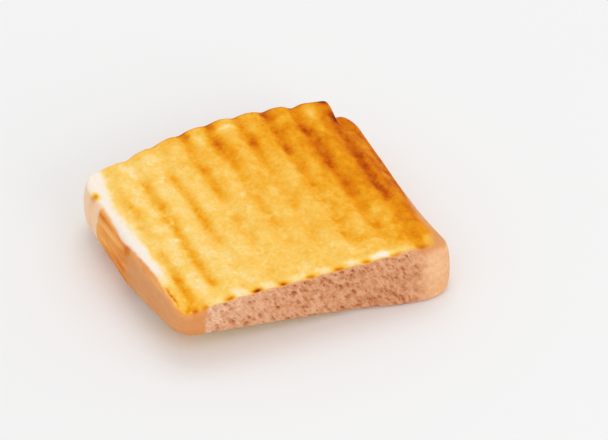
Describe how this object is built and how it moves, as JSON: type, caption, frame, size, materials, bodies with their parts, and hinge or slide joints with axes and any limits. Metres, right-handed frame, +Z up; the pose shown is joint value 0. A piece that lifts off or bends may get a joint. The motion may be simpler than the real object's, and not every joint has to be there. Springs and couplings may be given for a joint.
{
  "type": "toast",
  "caption": "Thick slice of toast from a square sandwich loaf, with straight grill grooves pressed into its browned top, a smooth crust on three sides and an open crumb side.",
  "frame": {"origin": "under the middle of the slice, in the plane that it rests on", "axes": "+X across the grill grooves, towards the browner end; +Y along the grooves, from the crumb side to the domed crust; +Z up, out of the grooved top"},
  "size_m": [0.1104, 0.1024, 0.0223],
  "materials": {
    "toasted_bread": "matte"
  },
  "bodies": {
    "root": {"toast": "toasted_bread"}
  },
  "joints": []
}
